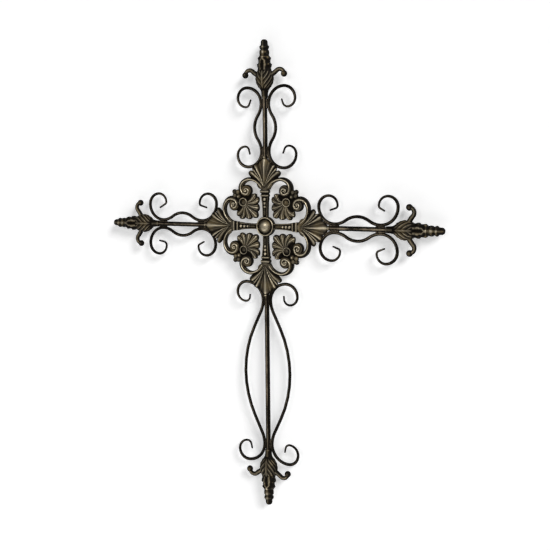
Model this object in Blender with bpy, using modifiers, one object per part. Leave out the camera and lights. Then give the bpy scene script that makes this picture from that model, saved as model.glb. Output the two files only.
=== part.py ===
"""A wrought iron wall cross: a cast rosette, four rods, eight wire scrolls and four cast leaf finials.

Metres, +Z up. The cross faces -Y and hangs on a wall in the plane Y = 0, with the origin at the
middle of the round pad behind the boss. Each arm is modelled along its own +Z, then turned about Y.
"""

import math

import bmesh
import bpy
from mathutils import Matrix, Vector

# Driving dimensions of the whole cross

SIDE_REACH = 0.3606
FOOT_REACH = 0.5536
ROD_DIAMETER = 0.0095
WIRE_DIAMETER = 0.0063
WIRE_TIP_DIAMETER = 0.0036
WIRE_TAPER_LENGTH = 0.070
GAP = 0.0003
WALL_CLEARANCE = 0.0009
ROD_START = 0.0765

# Boss and wall pad of the rosette: radius, and height in front of the rods' middle plane

BOSS_RADIUS = 0.0193
BOSS_RIM_HEIGHT = 0.0074
BOSS_GROOVE_RADIUS = 0.0152
BOSS_GROOVE_HEIGHT = 0.0048
BOSS_DOME_RISE = 0.0066
BOSS_BACK = -0.0034
RIM_FLAT_START = 0.35
RIM_FLAT_END = 0.75
RIM_CHAMFER = 0.4
PAD_RADIUS = 0.0130
BOSS_STEPS = 20

# Arms of the rosette: half width and height at distances from the middle

ARM_BACK = -0.0032
ARM_STATIONS = (
    (0.0140, 0.0055, 0.0056),
    (0.0300, 0.0056, 0.0058),
    (0.0430, 0.0063, 0.0062),
    (0.0575, 0.0079, 0.0068),
    (0.0622, 0.0098, 0.0083),
    (0.0648, 0.0086, 0.0070),
    (0.0676, 0.0098, 0.0083),
    (0.0712, 0.0080, 0.0066),
    (0.0790, 0.0056, 0.0060),
)
ARM_LIP = 0.0018
ARM_LIP_FALL = 0.0011
ARM_RECESS_INSET = 0.0031
ARM_RECESS = 0.0014
ARM_BEADS = ((0.0545, 0.0038), (0.0462, 0.0033), (0.0388, 0.0028))
TULIP_START = 0.0205
TULIP_END = 0.0350
TULIP_RADIUS = 0.0026

# Volutes: a log spiral band that winds in on a round eye

EYE_ACROSS = 0.0415
EYE_ALONG = 0.0690
EYE_RADIUS = 0.0120
EYE_RIM_RADIUS = 0.0088
EYE_RIM_HEIGHT = 0.0070
EYE_EDGE_HEIGHT = 0.0040
EYE_HOLLOW_RADIUS = 0.0048
EYE_HOLLOW_HEIGHT = 0.0044
EYE_KNOB_HEIGHT = 0.0078
EYE_BACK = -0.0030
SPIRAL_START = math.radians(175)
SPIRAL_TURN = math.radians(264)
SPIRAL_RADIUS = 0.0378
SPIRAL_DECAY = 0.256
SPIRAL_STEP = math.radians(22)
BAND_START_WIDTH = 0.0055
BAND_WIDTH = 0.0102
BAND_BACK = -0.0032
BAND_EDGE_HEIGHT = 0.0032
BAND_RIM_HEIGHT = 0.0070
BAND_RIM_INSET = 0.0048
BAND_CHANNEL_INSET = 0.0072
BAND_CHANNEL_HEIGHT = 0.0042
BAND_LIP_HEIGHT = 0.0050
BAND_INNERMOST = 0.0036

# Corner leaves, each on a diagonal, fanned round a calyx; beads and three-lobed buds beyond them

CALYX_DISTANCE = 0.0650
CALYX_RADIUS = 0.0090
CALYX_BALL_RADIUS = 0.0072
CALYX_HEIGHT = 0.0082
LEAF_HALF_SIDE = 0.0330
LEAF_SQUARENESS = 5.0
LEAF_HEEL_RADIUS = 0.0200
LEAF_LOBES = 7
LEAF_SPREAD = math.radians(196)
LEAF_NOTCH = 0.86
LEAF_HEEL_START = math.radians(60)
LEAF_HEEL_FADE = math.radians(45)
LEAF_BACK = -0.0022
LEAF_EDGE_HEIGHT = 0.0036
LEAF_RIDGE_HEIGHT = 0.0070
LEAF_GROOVE_DEPTH = 0.0018
LEAF_EDGE_GROOVE = 0.0009
BEAD_DISTANCE = 0.0820
BEAD_HEIGHT = 0.0032
BEAD_RADIUS = 0.0064
BUD_DISTANCE = 0.0893
BUD_LOBE_RADIUS = 0.0050
BUD_SPREAD = 0.0045
BUD_TIP_DISTANCE = 0.0952
BUD_HEIGHT = 0.0034

# Fans over the rods: angle, half angle, reach, shoulder and the notch beyond, lobe by lobe on one side

FAN_ROOT = 0.0750
FAN_LOBES = (
    (math.radians(0.0), math.radians(14.5), 0.0600, 0.42, 0.0465),
    (math.radians(26.5), math.radians(12.0), 0.0500, 0.62, 0.0400),
    (math.radians(47.5), math.radians(9.0), 0.0468, 0.65, 0.0300),
)
FAN_HEEL = ((math.radians(62), 0.0190), (math.radians(120), 0.0080), (math.radians(180), 0.0050))
FAN_EDGE_HEIGHT = 0.0070
FAN_RIDGE_HEIGHT = 0.0092
FAN_GROOVE_DEPTH = 0.0022
FAN_HUB_SHARE = 0.17
SHOULDER_SHARE = 0.92

# Scrolls: height of the bow over the rod's middle, straight length, radius where it meets the rod

SHORT_BOW = 0.0230
SHORT_STRAIGHT = 0.0020
SHORT_FLANK_RADIUS = 0.0390
SHORT_INSET = 0.0103
LONG_BOW = 0.0488
LONG_STRAIGHT = 0.0350
LONG_FLANK_RADIUS = 0.0510
LONG_INSET = 0.0101
QUARTER_TURN = math.radians(90)
ARC_STEP = math.radians(30)
BOW_STEP = math.radians(15)

# Each wire is bent by hand, so no two curls are quite alike. For its outer and its inner end: the
# radii of three quarter turns, then the hook's radius and turn in degrees, and the straight tail

CURLS = {
    "top_left": (
        (0.0314, 0.0196, 0.0177, 0.0073, 67, 0.0104),
        (0.0296, 0.0231, 0.0166, 0.0085, 76, 0.0089),
    ),
    "top_right": (
        (0.0330, 0.0237, 0.0161, 0.0105, 71, 0.0080),
        (0.0316, 0.0266, 0.0158, 0.0097, 68, 0.0090),
    ),
    "right_upper": (
        (0.0341, 0.0196, 0.0180, 0.0050, 60, 0.0104),
        (0.0324, 0.0209, 0.0179, 0.0060, 72, 0.0120),
    ),
    "right_lower": (
        (0.0324, 0.0227, 0.0178, 0.0062, 69, 0.0128),
        (0.0301, 0.0232, 0.0178, 0.0056, 70, 0.0118),
    ),
    "bottom_right": (
        (0.0361, 0.0207, 0.0182, 0.0092, 79, 0.0081),
        (0.0340, 0.0241, 0.0168, 0.0120, 86, 0.0060),
    ),
    "bottom_left": (
        (0.0358, 0.0202, 0.0178, 0.0084, 79, 0.0087),
        (0.0356, 0.0211, 0.0180, 0.0093, 84, 0.0055),
    ),
    "left_lower": (
        (0.0323, 0.0214, 0.0177, 0.0074, 80, 0.0115),
        (0.0310, 0.0226, 0.0177, 0.0045, 62, 0.0126),
    ),
    "left_upper": (
        (0.0315, 0.0220, 0.0171, 0.0048, 60, 0.0150),
        (0.0343, 0.0198, 0.0195, 0.0045, 74, 0.0140),
    ),
}

# Finials: the sleeve's wall, then half width and half depth at distances from its mouth

SLEEVE_WALL = 0.0013
SLEEVE_FLARE = 0.0012
SLEEVE_LENGTH = 0.0140
SOCKET_DEPTH = 0.0100
FINIAL_LENGTH = 0.1126
BULB_DEPTH = 0.0140
FINIAL_STATIONS = (
    (0.0225, 0.0138, 0.0114),
    (0.0300, 0.0178, 0.0135),
    (0.0380, 0.0190, BULB_DEPTH),
    (0.0470, 0.0176, 0.0132),
    (0.0560, 0.0145, 0.0117),
    (0.0630, 0.0160, 0.0124),
    (0.0680, 0.0126, 0.0110),
    (0.0745, 0.0137, 0.0114),
    (0.0805, 0.0100, 0.0092),
    (0.0880, 0.0102, 0.0094),
    (0.0930, 0.0077, 0.0075),
    (0.0975, 0.0101, 0.0094),
    (0.1020, 0.0069, 0.0069),
    (0.1090, 0.0069, 0.0069),
    (FINIAL_LENGTH, 0.0036, 0.0036),
)
FINIAL_SIDES = 10
FINIAL_RIB = 0.07
RIB_END = 0.075
HORN_ROOT_ACROSS = 0.0100
HORN_ROOT_ALONG = 0.0430
HORN_SLOPE = math.radians(30)
HORN_RUN = 0.0205
HORN_RADIUS = 0.0095
HORN_TURN = math.radians(118)
HORN_WIDTH = 0.0090
HORN_TIP_WIDTH = 0.0068
HORN_BALL_RADIUS = 0.0065

# The carving's joined skin: its first grain, and the share of its triangles that is kept
CARVING_GRAIN = 0.0009
CARVING_KEPT = 0.0103

# Values that follow from the driving dimensions

ROD_RADIUS = ROD_DIAMETER / 2
WIRE_RADIUS = WIRE_DIAMETER / 2
ROD_DEPTH = BULB_DEPTH + WALL_CLEARANCE
FAN_BACK = WIRE_RADIUS + GAP
FAN_TIP = FAN_ROOT + FAN_LOBES[0][2]
CONTACT = ROD_RADIUS + WIRE_RADIUS + GAP
ROD_SIDES = 12

# Each arm: name, turn about Y, reach, and what its two sides are called
ARMS = (
    ("top", 0, SIDE_REACH, ("left", "right")),
    ("right", 90, SIDE_REACH, ("upper", "lower")),
    ("bottom", 180, FOOT_REACH, ("right", "left")),
    ("left", 270, SIDE_REACH, ("lower", "upper")),
)


def clear_scene():
    for old in list(bpy.data.objects):
        bpy.data.objects.remove(old, do_unlink=True)


def new_collection(name):
    collection = bpy.data.collections.new(name)
    bpy.context.scene.collection.children.link(collection)
    return collection


def metal(name, color, roughness):
    material = bpy.data.materials.new(name)
    material.use_nodes = True
    shader = material.node_tree.nodes["Principled BSDF"]
    shader.inputs["Base Color"].default_value = (*color, 1.0)
    shader.inputs["Roughness"].default_value = roughness
    shader.inputs["Metallic"].default_value = 0.85
    return material


def placed(name, data, collection, turn=0.0):
    """An object in an arm's own frame: +Z along the arm, turned about Y, at the rods' depth."""
    piece = bpy.data.objects.new(name, data)
    piece.location = (0, -ROD_DEPTH, 0)
    piece.rotation_euler = (0, math.radians(turn), 0)
    collection.objects.link(piece)
    return piece


def helper(piece):
    """A shape that only cuts or joins, and isn't itself a part."""
    piece.hide_render = True
    piece.display_type = "WIRE"
    return piece


def mesh_from(name, shape):
    bmesh.ops.recalc_face_normals(shape, faces=shape.faces)
    mesh = bpy.data.meshes.new(name)
    shape.to_mesh(mesh)
    shape.free()
    return mesh


def loft(name, rings):
    """A closed mesh through rings of as many points each, with both ends filled."""
    shape = bmesh.new()
    rows = [[shape.verts.new(point) for point in ring] for ring in rings]
    count = len(rows[0])
    for low, high in zip(rows, rows[1:]):
        for k in range(count):
            after = (k + 1) % count
            shape.faces.new((low[k], low[after], high[after], high[k]))
    shape.faces.new(rows[0])
    shape.faces.new(rows[-1])
    bmesh.ops.triangulate(shape, faces=shape.faces)
    return mesh_from(name, shape)


def ball(name, center, radius, segments=8, rings=5):
    shape = bmesh.new()
    bmesh.ops.create_uvsphere(
        shape, u_segments=segments, v_segments=rings, radius=radius, matrix=Matrix.Translation(center)
    )
    return mesh_from(name, shape)


def turned(name, profile, steps):
    """The mesh of a profile of (radius, height) points, turned about +Z by a Screw modifier."""
    line = bmesh.new()
    points = [line.verts.new((radius, 0, height)) for radius, height in profile]
    for pair in zip(points, points[1:]):
        line.edges.new(pair)
    mesh = bpy.data.meshes.new(name)
    line.to_mesh(mesh)
    line.free()
    piece = bpy.data.objects.new(name, mesh)
    bpy.context.scene.collection.objects.link(piece)
    screw = piece.modifiers.new("turn", "SCREW")
    screw.steps = steps
    screw.render_steps = steps
    screw.use_merge_vertices = True
    screw.merge_threshold = 0.00001
    screw.use_normal_calculate = True
    result = baked(piece)
    bpy.data.objects.remove(piece)
    return result


def baked(piece):
    """The mesh of an object with its modifiers, or of a curve with its caps welded on."""
    bpy.context.view_layer.update()
    graph = bpy.context.evaluated_depsgraph_get()
    mesh = bpy.data.meshes.new_from_object(piece.evaluated_get(graph))
    shape = bmesh.new()
    shape.from_mesh(mesh)
    bmesh.ops.remove_doubles(shape, verts=shape.verts, dist=0.00001)
    bmesh.ops.recalc_face_normals(shape, faces=shape.faces)
    shape.to_mesh(mesh)
    shape.free()
    return mesh


def wire_curve(name, points, radii, resolution=1):
    """A round wire through the points, with its own radius at each."""
    curve = bpy.data.curves.new(name, "CURVE")
    curve.dimensions = "3D"
    curve.bevel_depth = 1.0
    curve.bevel_resolution = resolution
    curve.use_fill_caps = True
    spline = curve.splines.new("POLY")
    spline.points.add(len(points) - 1)
    for knot, point, radius in zip(spline.points, points, radii):
        knot.co = (*point, 1.0)
        knot.radius = radius
    return curve


def boolean(piece, operation, collection):
    """Join or cut with every shape of a collection. All are closed, as the MANIFOLD solver asks."""
    modifier = piece.modifiers.new(operation.lower(), "BOOLEAN")
    modifier.operation = operation
    modifier.solver = "MANIFOLD"
    modifier.operand_type = "COLLECTION"
    modifier.collection = collection


def trace(across, along, heading, moves):
    """Points along arcs (radius, turn, step) and straights (length), from one point and heading."""
    points = [(across, along)]
    for move in moves:
        if len(move) == 1:
            across += move[0] * math.sin(heading)
            along += move[0] * math.cos(heading)
            points.append((across, along))
            continue
        radius, turn, step = move
        count = max(1, math.ceil(abs(turn) / step - 0.01))
        chord = 2 * radius * math.sin(abs(turn) / count / 2)
        for _ in range(count):
            heading += turn / count / 2
            across += chord * math.sin(heading)
            along += chord * math.cos(heading)
            heading += turn / count / 2
            points.append((across, along))
    return points


def tapered_radii(points):
    """The wire's radius at each point: full along the middle, thinner towards both tips."""
    steps = [math.dist(a, b) for a, b in zip(points, points[1:])]
    length = sum(steps)
    travelled = [sum(steps[:k]) for k in range(len(points))]
    tip = WIRE_TIP_DIAMETER / 2
    radii = []
    for distance in travelled:
        share = min(1.0, min(distance, length - distance) / WIRE_TAPER_LENGTH)
        radii.append(tip + (WIRE_RADIUS - tip) * share)
    return radii


def scroll_points(side, reach, bow, straight, flank_radius, inset, curls):
    """A scroll's whole path: a bow over the rod, and a curl at each end that turns away from it."""
    mouth = reach - FINIAL_LENGTH
    middle = (FAN_TIP + mouth) / 2
    contact_along = (mouth - FAN_TIP) / 2 - inset
    drop = bow - CONTACT
    slope = 2 * math.atan(drop / (contact_along + straight))
    both_radii = (contact_along - straight * math.cos(slope)) / math.sin(slope)
    halves = []
    for first, second, third, hook, hook_turn, tail in curls:
        halves.append(
            trace(
                bow,
                0.0,
                0.0,
                (
                    (both_radii - flank_radius, -slope, BOW_STEP),
                    (straight,),
                    (flank_radius, slope, ARC_STEP),
                    (first, QUARTER_TURN, ARC_STEP),
                    (second, QUARTER_TURN, ARC_STEP),
                    (third, QUARTER_TURN, ARC_STEP),
                    (hook, math.radians(hook_turn), ARC_STEP),
                    (tail,),
                ),
            )
        )
    outer = [(side * across, 0.0, middle + along) for across, along in halves[0]]
    inner = [(side * across, 0.0, middle - along) for across, along in halves[1][1:]]
    return inner[::-1] + outer


def boss_mesh():
    groove = BOSS_GROOVE_HEIGHT
    rim = BOSS_RIM_HEIGHT
    dome = [
        (BOSS_GROOVE_RADIUS * math.sin(angle), groove + BOSS_DOME_RISE * math.cos(angle))
        for angle in (math.radians(share * 30) for share in range(4))
    ]
    rim_width = BOSS_RADIUS - BOSS_GROOVE_RADIUS
    outside = [
        (BOSS_GROOVE_RADIUS + rim_width * RIM_FLAT_START, rim),
        (BOSS_GROOVE_RADIUS + rim_width * RIM_FLAT_END, rim),
        (BOSS_RADIUS, rim - rim_width * RIM_CHAMFER),
        (BOSS_RADIUS, BOSS_BACK),
        (PAD_RADIUS, BOSS_BACK),
        (PAD_RADIUS, -ROD_DEPTH),
    ]
    mesh = turned("boss", dome + outside, BOSS_STEPS)
    shape = bmesh.new()
    shape.from_mesh(mesh)
    bmesh.ops.holes_fill(shape, edges=[edge for edge in shape.edges if edge.is_boundary])
    return mesh_from("boss", shape)


def arm_mesh():
    rings = []
    for along, half, height in ARM_STATIONS:
        lip = height - ARM_LIP_FALL
        recess = height - ARM_RECESS
        outline = (
            (-half, ARM_BACK),
            (-half, lip),
            (-half + ARM_LIP, height),
            (-half + ARM_RECESS_INSET, recess),
            (half - ARM_RECESS_INSET, recess),
            (half - ARM_LIP, height),
            (half, lip),
            (half, ARM_BACK),
        )
        rings.append([(across, -depth, along) for across, depth in outline])
    return loft("arm", rings)


def arm_bead_meshes():
    """The beads down the front of an arm, and the long tulip below them."""
    front = ARM_STATIONS[1][2] - ARM_RECESS
    beads = [ball("bead", (0, -front, along), radius, 6, 3) for along, radius in ARM_BEADS]
    tulip = ball("tulip", (0, 0, 0), TULIP_RADIUS, 6, 3)
    stretch = (TULIP_END - TULIP_START) / 2 / TULIP_RADIUS
    middle = (TULIP_START + TULIP_END) / 2
    tulip.transform(Matrix.Translation((0, -front, middle)) @ Matrix.Diagonal((1, 1, stretch, 1)))
    return beads + [tulip]


def volute_mesh(side):
    count = math.ceil(SPIRAL_TURN / SPIRAL_STEP)
    rings = []
    for step in range(count + 1):
        turn = SPIRAL_TURN * step / count
        angle = SPIRAL_START - turn
        outer = SPIRAL_RADIUS * math.exp(-SPIRAL_DECAY * turn)
        width = min(BAND_WIDTH, BAND_START_WIDTH + (BAND_WIDTH - BAND_START_WIDTH) * 2 * step / count)
        inner = max(outer - width, BAND_INNERMOST)
        spread = (outer - inner) / BAND_WIDTH
        outline = (
            (outer, BAND_BACK),
            (outer, BAND_EDGE_HEIGHT),
            (outer - BAND_RIM_INSET * spread, BAND_RIM_HEIGHT),
            (outer - BAND_CHANNEL_INSET * spread, BAND_CHANNEL_HEIGHT),
            (inner, BAND_LIP_HEIGHT),
            (inner, BAND_BACK),
        )
        rings.append(
            [
                (
                    side * (EYE_ACROSS + radius * math.cos(angle)),
                    -depth,
                    EYE_ALONG + radius * math.sin(angle),
                )
                for radius, depth in outline
            ]
        )
    return loft("volute", rings)


def eye_mesh(side):
    """The round eye of a volute: a raised rim, a hollow and a knob."""
    profile = (
        (0.0, EYE_KNOB_HEIGHT),
        (EYE_HOLLOW_RADIUS, EYE_HOLLOW_HEIGHT),
        (EYE_RIM_RADIUS, EYE_RIM_HEIGHT),
        (EYE_RADIUS, EYE_EDGE_HEIGHT),
        (EYE_RADIUS, EYE_BACK),
        (0.0, EYE_BACK),
    )
    mesh = turned("eye", profile, 10)
    upright = Matrix.Rotation(math.radians(90), 4, "X")
    mesh.transform(Matrix.Translation((side * EYE_ACROSS, 0, EYE_ALONG)) @ upright)
    return mesh


def fan_outline():
    """Polar points of a fan round its root: angle, radius, and 1 on a lobe or 0 in a notch."""
    half = []
    for index, (middle, spread, reach, shoulder, notch) in enumerate(FAN_LOBES):
        if index:
            half.append((middle - spread * shoulder, reach * SHOULDER_SHARE, 1))
        half.append((middle, reach, 1))
        half.append((middle + spread * shoulder, reach * SHOULDER_SHARE, 1))
        half.append((middle + spread, notch, 0))
    half.extend((angle, radius, 0) for angle, radius in FAN_HEEL)
    mirrored = [(-angle, radius, raised) for angle, radius, raised in half[1:-1]]
    return half + mirrored[::-1]


def fan_mesh():
    outline = fan_outline()

    def ring(share, height):
        return [
            (
                share * radius * math.sin(angle),
                -(height if height == FAN_BACK else height - FAN_GROOVE_DEPTH * (1 - raised)),
                FAN_ROOT + share * radius * math.cos(angle),
            )
            for angle, radius, raised in outline
        ]

    return loft("fan", [ring(1, FAN_BACK), ring(1, FAN_EDGE_HEIGHT), ring(FAN_HUB_SHARE, FAN_RIDGE_HEIGHT)])


def leaf_radius(angle):
    """Distance of a leaf's plain outline from its calyx; angle 0 points to the boss."""
    across = abs(math.sin(angle + math.radians(45)))
    along = abs(math.cos(angle + math.radians(45)))
    corner = LEAF_HALF_SIDE / (across**LEAF_SQUARENESS + along**LEAF_SQUARENESS) ** (1 / LEAF_SQUARENESS)
    beyond = abs(angle) - LEAF_HEEL_START
    fade = min(1.0, max(0.0, beyond / LEAF_HEEL_FADE))
    return corner + (LEAF_HEEL_RADIUS - corner) * fade


def leaf_outline():
    """Polar points of a leaf round its calyx: angle, radius, and 1 on a lobe or 0 in a notch."""
    points = []
    for lobe in range(LEAF_LOBES):
        for share, raised in ((0.0, 0), (0.30, 1), (0.70, 1)):
            angle = LEAF_SPREAD * ((lobe + share) / LEAF_LOBES - 0.5)
            radius = leaf_radius(angle) * (1 if raised else LEAF_NOTCH)
            points.append((angle, radius, raised))
    rest = math.radians(360) - LEAF_SPREAD
    for share in (0.0, 0.25, 0.5, 0.75):
        points.append((LEAF_SPREAD / 2 + rest * share, LEAF_HEEL_RADIUS * LEAF_NOTCH, 0))
    return points


def leaf_mesh():
    outline = leaf_outline()

    def ring(size, height, groove):
        return [
            (
                size(radius) * math.sin(angle),
                -(height - groove * (1 - raised)),
                CALYX_DISTANCE - size(radius) * math.cos(angle),
            )
            for angle, radius, raised in outline
        ]

    def whole(radius):
        return radius

    def calyx(radius):
        return CALYX_RADIUS

    return loft(
        "leaf",
        [
            ring(whole, LEAF_BACK, 0),
            ring(whole, LEAF_EDGE_HEIGHT, LEAF_EDGE_GROOVE),
            ring(calyx, LEAF_RIDGE_HEIGHT, LEAF_GROOVE_DEPTH),
        ],
    )


def corner_meshes():
    """A diagonal's leaf with its calyx, the bead beyond it and the three lobes of the bud."""
    calyx_center = (0, CALYX_BALL_RADIUS - CALYX_HEIGHT, CALYX_DISTANCE)
    bead_center = (0, -BEAD_HEIGHT, BEAD_DISTANCE)
    lobes = ((0, BUD_TIP_DISTANCE), (-BUD_SPREAD, BUD_DISTANCE), (BUD_SPREAD, BUD_DISTANCE))
    meshes = [
        leaf_mesh(),
        ball("calyx", calyx_center, CALYX_BALL_RADIUS, 8, 6),
        ball("corner_bead", bead_center, BEAD_RADIUS, 8, 5),
    ]
    meshes.extend(
        ball("bud_lobe", (across, -BUD_HEIGHT, along), BUD_LOBE_RADIUS, 6, 4) for across, along in lobes
    )
    return meshes


def rod_mesh(name, start, end, radius):
    shape = bmesh.new()
    bmesh.ops.create_cone(
        shape,
        cap_ends=True,
        segments=ROD_SIDES,
        radius1=radius,
        radius2=radius,
        depth=end - start,
        matrix=Matrix.Translation((0, 0, (start + end) / 2)),
    )
    return mesh_from(name, shape)


def rod_end(reach):
    return reach - FINIAL_LENGTH + SOCKET_DEPTH


def carving_mesh():
    """Every shape that is cast round the boss, in one mesh in which they still overlap."""
    shape = bmesh.new()
    for _, turn, _, _ in ARMS:
        meshes = [arm_mesh(), fan_mesh()] + arm_bead_meshes()
        for side in (-1, 1):
            meshes.extend((volute_mesh(side), eye_mesh(side)))
        turned_meshes = [(mesh, turn) for mesh in meshes]
        turned_meshes.extend((mesh, turn + 45) for mesh in corner_meshes())
        for mesh, angle in turned_meshes:
            mesh.transform(Matrix.Rotation(math.radians(angle), 4, "Y"))
            shape.from_mesh(mesh)
    return mesh_from("carving", shape)


def build_rosette(parts, cast_iron):
    """Boss, arms, fans, volutes, leaves and buds, joined into one casting over the rods' ends."""
    carved = new_collection("carving")
    channels = new_collection("rod_channels")
    carving = helper(placed("carving", carving_mesh(), carved))
    skin = carving.modifiers.new("skin", "REMESH")
    skin.mode = "VOXEL"
    skin.voxel_size = CARVING_GRAIN
    fewer = carving.modifiers.new("fewer", "DECIMATE")
    fewer.ratio = CARVING_KEPT
    for name, turn, reach, _ in ARMS:
        channel = rod_mesh("channel_" + name, ROD_START - GAP, rod_end(reach), ROD_RADIUS + GAP)
        helper(placed("channel_" + name, channel, channels, turn))
    rosette = placed("center_rosette", boss_mesh(), parts)
    rosette.rotation_euler = (math.radians(90), 0, 0)
    boolean(rosette, "UNION", carved)
    boolean(rosette, "DIFFERENCE", channels)
    rosette.data.materials.append(cast_iron)


def finial_rings():
    mouth = ROD_RADIUS + SLEEVE_WALL
    stations = (
        (0.0, mouth, mouth),
        (SLEEVE_LENGTH, mouth + SLEEVE_FLARE, mouth + SLEEVE_FLARE * 0.6),
        *FINIAL_STATIONS,
    )
    rings = []
    for along, width, depth in stations:
        carved = FINIAL_RIB if SLEEVE_LENGTH < along < RIB_END else 0.0
        ring = []
        for k in range(FINIAL_SIDES):
            angle = math.tau * k / FINIAL_SIDES
            rib = 1 - carved * (k % 2)
            ring.append((width * rib * math.sin(angle), -depth * rib * math.cos(angle), along))
        rings.append(ring)
    return rings


def horn_meshes(side):
    """A horn that leaves the bulb, arches over and ends in a ball."""
    path = trace(
        HORN_ROOT_ACROSS,
        HORN_ROOT_ALONG,
        math.radians(90) - HORN_SLOPE,
        ((HORN_RUN,), (HORN_RADIUS, HORN_TURN, ARC_STEP)),
    )
    points = [(side * across, 0.0, along) for across, along in path]
    last = len(points) - 1
    radii = [(HORN_WIDTH + (HORN_TIP_WIDTH - HORN_WIDTH) * k / last) / 2 for k in range(last + 1)]
    curve = bpy.data.objects.new("horn", wire_curve("horn", points, radii))
    bpy.context.scene.collection.objects.link(curve)
    horn = baked(curve)
    bpy.data.objects.remove(curve)
    return [horn, ball("horn_ball", Vector(points[-1]), HORN_BALL_RADIUS, 7, 4)]


def finial_mesh():
    """One finial, its mouth at the frame's origin, with a blind socket for the rod."""
    joined = new_collection("finial_pieces")
    cutters = new_collection("finial_sockets")
    body = bpy.data.objects.new("finial_pattern", loft("finial", finial_rings()))
    new_collection("finial_patterns").objects.link(helper(body))
    for side in (-1, 1):
        for mesh in horn_meshes(side):
            piece = bpy.data.objects.new("finial_" + mesh.name, mesh)
            joined.objects.link(helper(piece))
    socket = bpy.data.objects.new(
        "finial_socket", rod_mesh("socket", -SOCKET_DEPTH, SOCKET_DEPTH + GAP, ROD_RADIUS + GAP)
    )
    cutters.objects.link(helper(socket))
    boolean(body, "UNION", joined)
    boolean(body, "DIFFERENCE", cutters)
    return baked(body)


def build_arm(parts, arm, finial, bar_iron, wire_iron, finial_iron):
    name, turn, reach, sides = arm
    rod = placed("rod_" + name, rod_mesh("rod", ROD_START, rod_end(reach), ROD_RADIUS), parts, turn)
    rod.data.materials.append(bar_iron)
    rod.data.shade_smooth()
    if reach == FOOT_REACH:
        shape = (LONG_BOW, LONG_STRAIGHT, LONG_FLANK_RADIUS, LONG_INSET)
    else:
        shape = (SHORT_BOW, SHORT_STRAIGHT, SHORT_FLANK_RADIUS, SHORT_INSET)
    for side, side_name in zip((-1, 1), sides):
        points = scroll_points(side, reach, *shape, CURLS[f"{name}_{side_name}"])
        curve = wire_curve("scroll", points, tapered_radii(points))
        curve.materials.append(wire_iron)
        placed(f"scroll_{name}_{side_name}", curve, parts, turn)
    top = placed("finial_" + name, finial, parts, turn)
    top.location = Matrix.Rotation(math.radians(turn), 3, "Y") @ Vector((0, 0, reach - FINIAL_LENGTH))
    top.location.y = -ROD_DEPTH
    if not finial.materials:
        finial.materials.append(finial_iron)


def main():
    clear_scene()
    parts = new_collection("wrought_iron_cross")
    cast_iron = metal("rubbed bronze cast iron", (0.150, 0.128, 0.092), 0.42)
    bar_iron = metal("dark bar iron", (0.060, 0.047, 0.034), 0.45)
    wire_iron = metal("dark wire iron", (0.052, 0.042, 0.031), 0.45)
    finial_iron = metal("dark cast iron", (0.085, 0.070, 0.052), 0.45)
    build_rosette(parts, cast_iron)
    finial = finial_mesh()
    for arm in ARMS:
        build_arm(parts, arm, finial, bar_iron, wire_iron, finial_iron)


main()
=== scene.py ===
# %% [markdown]
# # Dressing a wrought iron wall cross
# The cross is made of a pierced casting in the middle, four round rods, eight bent wires and four
# cast finials. The frame already holds each of them as a plain solid. This lesson puts a finely
# carved mesh over each solid and gives the metal its rubbed, antique finish.

# %% Load the frame and keep its box
import math
import random

import bmesh
import bpy
from mathutils import Matrix, Vector


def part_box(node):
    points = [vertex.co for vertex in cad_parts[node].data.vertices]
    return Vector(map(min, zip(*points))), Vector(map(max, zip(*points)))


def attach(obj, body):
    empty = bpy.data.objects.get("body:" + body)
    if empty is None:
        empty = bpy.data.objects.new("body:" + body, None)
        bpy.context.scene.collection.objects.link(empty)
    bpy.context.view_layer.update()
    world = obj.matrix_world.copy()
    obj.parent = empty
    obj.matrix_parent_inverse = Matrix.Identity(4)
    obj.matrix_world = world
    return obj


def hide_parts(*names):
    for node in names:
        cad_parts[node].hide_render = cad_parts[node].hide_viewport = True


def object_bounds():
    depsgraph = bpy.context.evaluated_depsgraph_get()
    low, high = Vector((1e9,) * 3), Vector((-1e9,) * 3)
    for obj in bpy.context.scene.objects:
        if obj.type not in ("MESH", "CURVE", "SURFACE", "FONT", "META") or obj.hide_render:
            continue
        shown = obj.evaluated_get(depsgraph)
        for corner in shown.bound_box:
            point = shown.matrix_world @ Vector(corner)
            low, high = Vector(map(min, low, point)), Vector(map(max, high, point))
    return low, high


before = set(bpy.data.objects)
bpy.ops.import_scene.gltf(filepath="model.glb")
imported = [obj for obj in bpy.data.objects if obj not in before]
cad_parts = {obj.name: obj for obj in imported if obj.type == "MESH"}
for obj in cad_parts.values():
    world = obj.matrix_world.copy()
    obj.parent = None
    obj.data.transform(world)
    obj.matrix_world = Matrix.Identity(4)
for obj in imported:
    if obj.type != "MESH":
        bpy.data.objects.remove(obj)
cad_low, cad_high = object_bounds()
print("nodes:", sorted(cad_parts))

# %% [markdown]
# ## Where the arms lie
# All four arms are alike, so a piece is modelled once, standing up from the boss, and then turned
# about the Y axis. The rods tell how far their middle plane stands off the wall, and how thick
# they are. The carving is written in millimetres, because its numbers are easier to read that
# way, and a matrix turns them into metres as each piece is put in its place.

# %% Sizes read from the frame
MM = 0.001
rod_low, rod_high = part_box("rod_top")
wire_low, wire_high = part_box("scroll_top_right")
ROD_RADIUS = (rod_high.x - rod_low.x) / 2 / MM
WIRE_RADIUS = (wire_high.y - wire_low.y) / 2 / MM
AXIS_Y = (rod_low.y + rod_high.y) / 2
TURNS = {"top": 0, "right": 90, "bottom": 180, "left": 270}
REACH = {
    "top": cad_high.z / MM,
    "right": cad_high.x / MM,
    "bottom": -cad_low.z / MM,
    "left": -cad_low.x / MM,
}
FINIAL_LENGTH = (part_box("finial_top")[1].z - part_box("finial_top")[0].z) / MM
print(f"rod radius {ROD_RADIUS:.2f} mm, wire radius {WIRE_RADIUS:.2f} mm, plane {AXIS_Y:.4f} m")
print("reach in mm:", {arm: round(length, 1) for arm, length in REACH.items()})


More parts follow.
